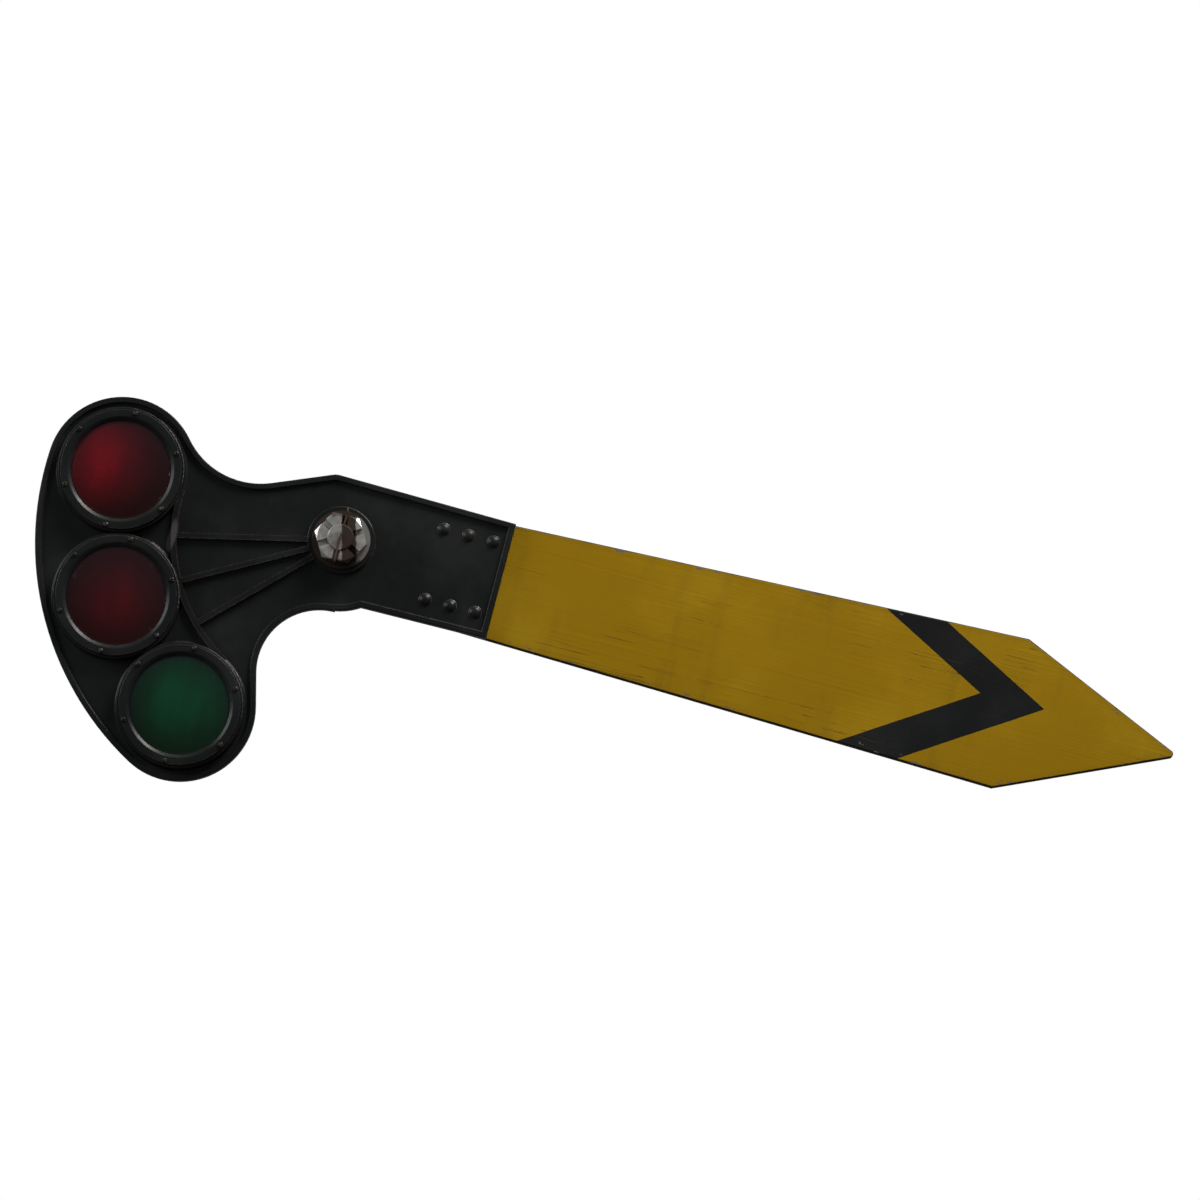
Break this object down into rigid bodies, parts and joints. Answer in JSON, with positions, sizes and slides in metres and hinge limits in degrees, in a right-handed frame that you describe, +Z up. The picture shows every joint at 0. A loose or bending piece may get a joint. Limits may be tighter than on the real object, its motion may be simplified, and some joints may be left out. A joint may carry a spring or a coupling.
{
  "type": "railway semaphore signal arm",
  "caption": "Lower-quadrant railway semaphore arm: cast spectacle with red and green roundels, pointed yellow blade with a black chevron, and a flanged pivot bearing with stops.",
  "frame": {"origin": "on the pivot axis, in the face of the bearing flange that meets the mast", "axes": "+X along the arm towards the blade's point, with the arm at Stop; +Y along the pivot axis into the mast, so the front faces -Y; +Z up"},
  "size_m": [1.9043, 0.204, 0.597],
  "materials": {
    "black_enamel": "weathered satin black enamel on iron",
    "blade_paint": "painted board, dull signal yellow front with a black chevron, black edges and back",
    "red_glass": "deep red moulded glass",
    "green_glass": "deep blue-green moulded glass",
    "gasket_rubber": "matt black",
    "bright_steel": "bare worn steel with grease in the slots",
    "rusted_steel": "rusted",
    "shaft_steel": "oiled, dull",
    "galvanised_steel": "dull zinc",
    "bronze": "turned, oiled",
    "bearing_paint": "black paint on cast iron",
    "felt": "oiled felt"
  },
  "bodies": {
    "bearing": {"bearing_housing": "bearing_paint", "front_bush": "bronze", "rear_bush": "bronze", "felt_seal": "felt", "rear_cover": "galvanised_steel", "cover_screws": "galvanised_steel", "grease_nipple": "galvanised_steel", "stop_screws": "galvanised_steel", "stop_lock_nuts": "galvanised_steel"},
    "arm": {"spectacle_casting": "black_enamel", "blade": "blade_paint", "blade_clamp_plate": "galvanised_steel", "blade_bolts": "black_enamel", "blade_bolt_washers": "galvanised_steel", "blade_bolt_nuts": "galvanised_steel", "lens_ring_screws": "black_enamel", "semaphore_shaft": "shaft_steel", "crank_key": "shaft_steel", "hub_key": "shaft_steel", "hub_washer": "bright_steel", "castle_nut": "bright_steel", "cotter_pin": "rusted_steel", "operating_crank": "bearing_paint", "crank_eye_bush": "bronze", "thrust_collar": "shaft_steel", "collar_pin": "shaft_steel", "upper_red_roundel": "red_glass", "upper_red_gasket": "gasket_rubber", "upper_red_retaining_ring": "black_enamel", "middle_red_roundel": "red_glass", "middle_red_gasket": "gasket_rubber", "middle_red_retaining_ring": "black_enamel", "green_roundel": "green_glass", "green_gasket": "gasket_rubber", "green_retaining_ring": "black_enamel"}
  },
  "joints": [
    {"name": "arm_pivot", "type": "hinge", "parent": "bearing", "child": "arm", "pos_m": [0, 0, 0], "axis": [0, 1, 0], "range_deg": [0, 64]}
  ]
}
